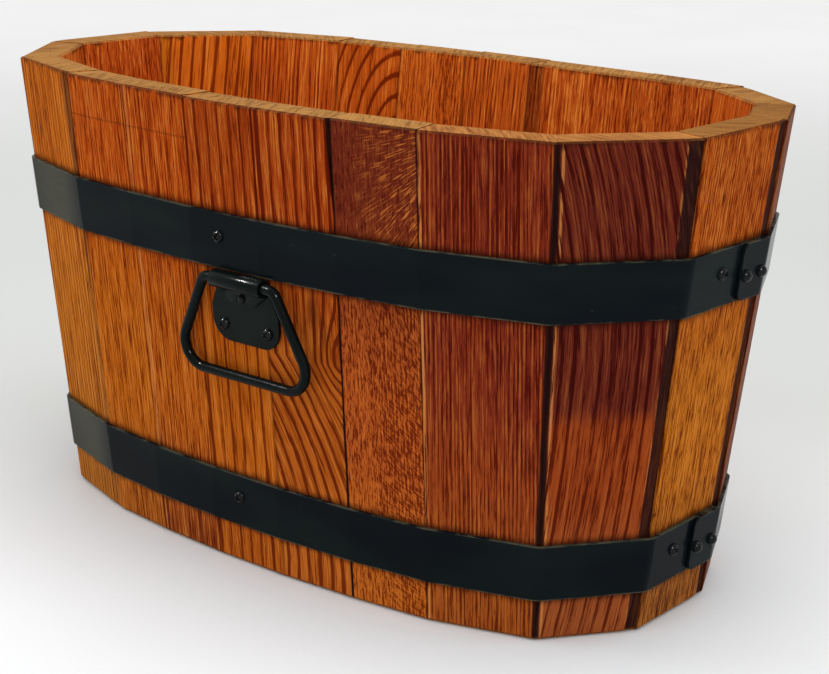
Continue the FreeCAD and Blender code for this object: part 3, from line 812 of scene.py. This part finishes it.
def fastenerTree(name, sizes, seed):
    tree = bpy.data.node_groups.new(name, "GeometryNodeTree")
    tree.interface.new_socket("Geometry", in_out="INPUT", socket_type="NodeSocketGeometry")
    tree.interface.new_socket("Geometry", in_out="OUTPUT", socket_type="NodeSocketGeometry")
    for size in sizes:
        tree.interface.new_socket(size, in_out="INPUT", socket_type="NodeSocketFloat")
    tree.interface.new_socket("Paint", in_out="INPUT", socket_type="NodeSocketMaterial")
    inlet = tree.nodes.new("NodeGroupInput")
    outlet = tree.nodes.new("NodeGroupOutput")
    start = Wire(tree)
    given = {output.name: Wire(tree, output) for output in inlet.outputs}

    def vector(x, y, z):
        return start.node("ShaderNodeCombineXYZ", {}, {0: x, 1: y, 2: z})

    def joined(*shapes):
        made = tree.nodes.new("GeometryNodeJoinGeometry")
        for shape in shapes:
            tree.links.new(shape.socket, made.inputs[0])
        return Wire(tree, made.outputs[0])

    def moved(shape, offset):
        return start.node("GeometryNodeTransform", {}, {"Geometry": shape, "Translation": offset})

    radius = given["Head Diameter"] / 2
    ball = start.node("GeometryNodeMeshUVSphere", {}, {
        "Segments": headDetail["segments"], "Rings": headDetail["rings"], "Radius": 1.0})
    dome = start.node("GeometryNodeTransform", {},
                      {"Geometry": ball, "Scale": vector(radius, radius, given["Head Height"])})
    wide = given["Head Diameter"] * 2
    below = start.node("GeometryNodeMeshCube", {}, {"Size": vector(wide, wide, wide)})
    cutters = [moved(below, vector(0.0, 0.0, given["Head Diameter"] * -1.0))]
    if "Recess Span" in sizes:
        for first, second in (("Recess Span", "Recess Width"), ("Recess Width", "Recess Span")):
            bar = start.node("GeometryNodeMeshCube", {},
                             {"Size": vector(given[first], given[second], given["Recess Depth"] * 2)})
            cutters.append(moved(bar, vector(0.0, 0.0, given["Head Height"])))
    cut = tree.nodes.new("GeometryNodeMeshBoolean")
    cut.operation = "DIFFERENCE"
    cut.solver = "EXACT"
    tree.links.new(dome.socket, cut.inputs["Mesh 1"])
    for cutter in cutters:
        tree.links.new(cutter.socket, cut.inputs["Mesh 2"])
    head = Wire(tree, cut.outputs[0])
    shank = start.node("GeometryNodeMeshCylinder", {}, {
        "Vertices": headDetail["shankSides"], "Radius": given["Shank Diameter"] / 2,
        "Depth": given["Shank Length"]})
    shank = moved(shank, vector(0.0, 0.0, given["Shank Length"] / -2))
    facing = start.node("GeometryNodeInputNamedAttribute", {"data_type": "FLOAT_VECTOR"},
                        {"Name": "facing"})
    aimed = start.node("FunctionNodeAlignRotationToVector", {"axis": "Z"}, {"Vector": facing})
    spots = start.node("GeometryNodeInstanceOnPoints", {}, {
        "Points": given["Geometry"], "Instance": joined(head, shank), "Rotation": aimed})
    spin = start.node("FunctionNodeRandomValue", {"data_type": "FLOAT"},
                      {2: 0.0, 3: math.tau, "Seed": seed}, 1)
    spun = start.node("GeometryNodeRotateInstances", {}, {
        "Instances": spots, "Rotation": vector(0.0, 0.0, spin), "Local Space": True})
    whole = start.node("GeometryNodeRealizeInstances", {}, {"Geometry": spun})
    painted = start.node("GeometryNodeSetMaterial", {}, {"Geometry": whole, "Material": given["Paint"]})
    tree.links.new(painted.socket, outlet.inputs["Geometry"])
    return tree


def addFasteners(name, seats, sizes, seed, node):
    spots = bpy.data.meshes.new(name + "Seats")
    spots.from_pydata([tuple(place) for place, facing in seats], [], [])
    facings = spots.attributes.new("facing", "FLOAT_VECTOR", "POINT")
    for index, (place, facing) in enumerate(seats):
        facings.data[index].vector = facing
    holder = bpy.data.objects.new(name + "Seats", spots)
    bpy.context.scene.collection.objects.link(holder)
    setOut = holder.modifiers.new("setOut", "NODES")
    tree = fastenerTree(name + "Tree", sizes, seed)
    setOut.node_group = tree
    for item in tree.interface.items_tree:
        if item.in_out == "INPUT" and item.name in sizes:
            setOut[item.identifier] = sizes[item.name]
        if item.in_out == "INPUT" and item.name == "Paint":
            setOut[item.identifier] = fastenerPaint
    bpy.context.view_layer.update()
    evaluated = holder.evaluated_get(bpy.context.evaluated_depsgraph_get())
    mesh = bpy.data.meshes.new_from_object(evaluated)
    holder.modifiers.remove(setOut)
    bpy.data.objects.remove(holder)
    softened(mesh, headDetail["smoothTurn"])
    addPiece(name, mesh, "tub", "fastener_paint", node)


def hoopSeats(hoop):
    level = (hoop["low"] + hoop["high"]) / 2
    lapEnd = edgeOf(lap["stave"], lap["stave"] + 1, level) - lap["reach"]
    first = lapEnd + lap["rivetInset"]
    rivetOut = 2 * lap["thickness"] + lap["gap"]
    rivets = [seatOf(lap["stave"], first + step, level - lap["rivetDrop"], rivetOut)
              for step in (0.0, lap["rivetSpacing"])]
    screwPlaces = [(0, -lap["screwOffset"]), (lap["stave"], lapEnd - lap["screwDistance"]),
                   (10, lap["screwOffset"]), (15, 0.0)]
    screws = [seatOf(index, along, level + lap["screwRise"], lap["thickness"])
              for index, along in screwPlaces]
    return screws, rivets


def handleSeats(drop, offsets, out):
    place, facing = seatOf(0, handle["offset"], handle["axisLevel"], 0.0)
    upward = Vector((1.0, 0.0, 0.0)).cross(facing) * -1.0
    return [(place + Vector((along, 0.0, 0.0)) - upward * drop + facing * out, facing)
            for along in offsets]


def turnedRound(seats):
    half = Matrix.Rotation(math.pi, 3, "Z")
    return [(half @ place, half @ facing) for place, facing in seats]


for seed, side in enumerate(("upper", "lower")):
    screws, rivets = hoopSeats(hoops[side])
    addFasteners(side + "HoopScrews", screws, screwSizes, seed + 3, side + "_hoop_screws")
    addFasteners(side + "HoopRivets", rivets, rivetSizes, seed + 5, side + "_hoop_rivets")
spread = handle["screwSpacing"] / 2
plateScrews = handleSeats(handle["screwDrop"], (-spread, spread), handle["plate"])
tongueRivet = handleSeats(handle["rivetDrop"], (0.0,), 2 * handle["plate"])
addFasteners("frontHandleScrews", plateScrews, screwSizes, 11, "front_handle_screws")
addFasteners("rearHandleScrews", turnedRound(plateScrews), screwSizes, 12, "rear_handle_screws")
addFasteners("frontHandleRivet", tongueRivet, tongueRivetSizes, 13, "front_handle_rivet")
addFasteners("rearHandleRivet", turnedRound(tongueRivet), tongueRivetSizes, 14, "rear_handle_rivet")
print("screws and rivets set")


# Ground, light and camera

studio = {
    "groundFront": paint(238, 241, 243),
    "groundShadedBand": paint(204, 206, 204),
    "groundFar": paint(238, 238, 238),
    "groundMarks": paint(196, 196, 190),
    "groundSize": 9.0,
    "groundLevel": -0.0004,
    "groundRoughness": 0.8,
    "groundGloss": 0.2,
    "skyBright": 1.05,
    "skyDim": 1.03,
    "backdrop": 0.862,
}
lamps = {  # place, aim, width and depth, strength; a glint lights only shiny paint
    "overhead": ((0.0, -0.1, 1.35), (0.0, 0.0, 0.2), (1.1, 0.8), 5.5),
    "leftGlint": ((-0.75, -0.8, 1.1), (0.0, -0.14, 0.17), (0.08, 0.08), 30.0),
    "rightGlint": ((1.3, -1.0, 1.2), (0.0, -0.14, 0.17), (0.08, 0.08), 30.0),
    "leftPanel": ((-1.5, -0.9, 0.9), (0.0, 0.0, 0.15), (1.4, 1.2), 1.0),
    "rightPanel": ((1.6, 0.7, 0.8), (0.1, 0.0, 0.15), (1.2, 1.2), 0.4),
}
photoCamera = {
    "azimuth": 39.034,
    "elevation": 16.116,
    "roll": 1.382,
    "distance": 1.1564,
    "target": (0.07011, -0.04560, 0.150),
    "focalPixels": 1867.3,
    "framePixels": 829.0,
    "sensor": 36.0,
}


def addGround():
    mesh = bpy.data.meshes.new("ground")
    half = studio["groundSize"]
    corners = ((-half, -half), (half, -half), (half, half), (-half, half))
    mesh.from_pydata([(x, y, studio["groundLevel"]) for x, y in corners], [], [(0, 1, 2, 3)])
    ground = bpy.data.objects.new("ground", mesh)
    bpy.context.scene.collection.objects.link(ground)
    material, start = newMaterial("groundCloth")
    place = objectPlace(start)
    weave = noise(place, (300, 300, 1), 2.0)
    cloud = noise(place, (4, 4, 1), 2.0)
    azimuth = math.radians(photoCamera["azimuth"])
    nearer = start.node("ShaderNodeVectorMath", {"operation": "DOT_PRODUCT"},
                        {0: place, 1: (math.sin(azimuth), -math.cos(azimuth), 0.0)}, 1)
    # painted shade: the floor is darker in a band behind the tub, away from the camera's side, and pale
    # again far off
    shade = blend(fade(nearer, 0.2, -0.3), studio["groundFront"], studio["groundShadedBand"])
    shade = blend(fade(nearer, -0.7, -2.8), shade, studio["groundFar"])
    marks = fade(cloud, 0.3, 0.7) * 0.06 + fade(weave, 0.4, 0.7) * 0.03
    shade = blend(marks, shade, studio["groundMarks"])
    surface = start.node("ShaderNodeBsdfPrincipled", {}, {
        "Base Color": shade, "Roughness": studio["groundRoughness"],
        "Specular IOR Level": studio["groundGloss"]})
    mesh.materials.append(finishMaterial(material, surface))


def addLamp(name, place, aim, size, strength):
    lamp = bpy.data.lights.new(name, "AREA")
    lamp.shape = "RECTANGLE"
    lamp.size, lamp.size_y = size
    lamp.energy = strength
    holder = bpy.data.objects.new(name, lamp)
    bpy.context.scene.collection.objects.link(holder)
    holder.location = place
    holder.rotation_euler = (Vector(aim) - Vector(place)).to_track_quat("-Z", "Y").to_euler()
    return holder


def addWorld():
    world = bpy.data.worlds.new("studioRoom")
    bpy.context.scene.world = world
    world.use_nodes = True
    tree = world.node_tree
    tree.nodes.clear()
    start = Wire(tree)
    direction = start.node("ShaderNodeTexCoord", {}, {}, "Generated")
    azimuth = math.radians(photoCamera["azimuth"])
    towards = start.node("ShaderNodeVectorMath", {"operation": "DOT_PRODUCT"},
                         {0: direction, 1: (math.sin(azimuth), -math.cos(azimuth), 0.0)}, 1)
    dim = fade(towards, -0.1, 0.6)
    level = studio["skyBright"] + dim * (studio["skyDim"] - studio["skyBright"])
    rays = [start.node("ShaderNodeLightPath", {}, {}, kind)
            for kind in ("Is Camera Ray", "Is Glossy Ray", "Is Transmission Ray")]
    seen = larger(larger(rays[0], rays[1]), rays[2])
    level = level + seen * (studio["backdrop"] - level)
    shine = start.node("ShaderNodeBackground", {},
                       {"Color": (1.0, 1.0, 1.0, 1.0), "Strength": level})
    output = tree.nodes.new("ShaderNodeOutputWorld")
    tree.links.new(shine.socket, output.inputs["Surface"])


def addCamera():
    azimuth, elevation, roll = (math.radians(photoCamera[key])
                                for key in ("azimuth", "elevation", "roll"))
    back = Vector((math.sin(azimuth) * math.cos(elevation), -math.cos(azimuth) * math.cos(elevation),
                   math.sin(elevation)))
    right = Vector((math.cos(azimuth), math.sin(azimuth), 0.0))
    up = back.cross(right)
    tiltedRight = right * math.cos(roll) + up * math.sin(roll)
    tiltedUp = up * math.cos(roll) - right * math.sin(roll)
    camera = bpy.data.cameras.new("photoCamera")
    camera.sensor_fit = "HORIZONTAL"
    camera.sensor_width = photoCamera["sensor"]
    camera.lens = photoCamera["focalPixels"] / photoCamera["framePixels"] * photoCamera["sensor"]
    holder = bpy.data.objects.new("photoCamera", camera)
    bpy.context.scene.collection.objects.link(holder)
    place = Vector(photoCamera["target"]) + back * photoCamera["distance"]
    turn = Matrix((tiltedRight, tiltedUp, back)).transposed().to_4x4()
    holder.matrix_world = Matrix.Translation(place) @ turn
    bpy.context.scene.camera = holder


addGround()
addWorld()
for name, (place, aim, size, strength) in lamps.items():
    lamp = addLamp(name, place, aim, size, strength)
    lamp.visible_diffuse = not name.endswith("Glint")
addCamera()
bpy.context.scene.view_settings.view_transform = "Standard"
print("studio ready")
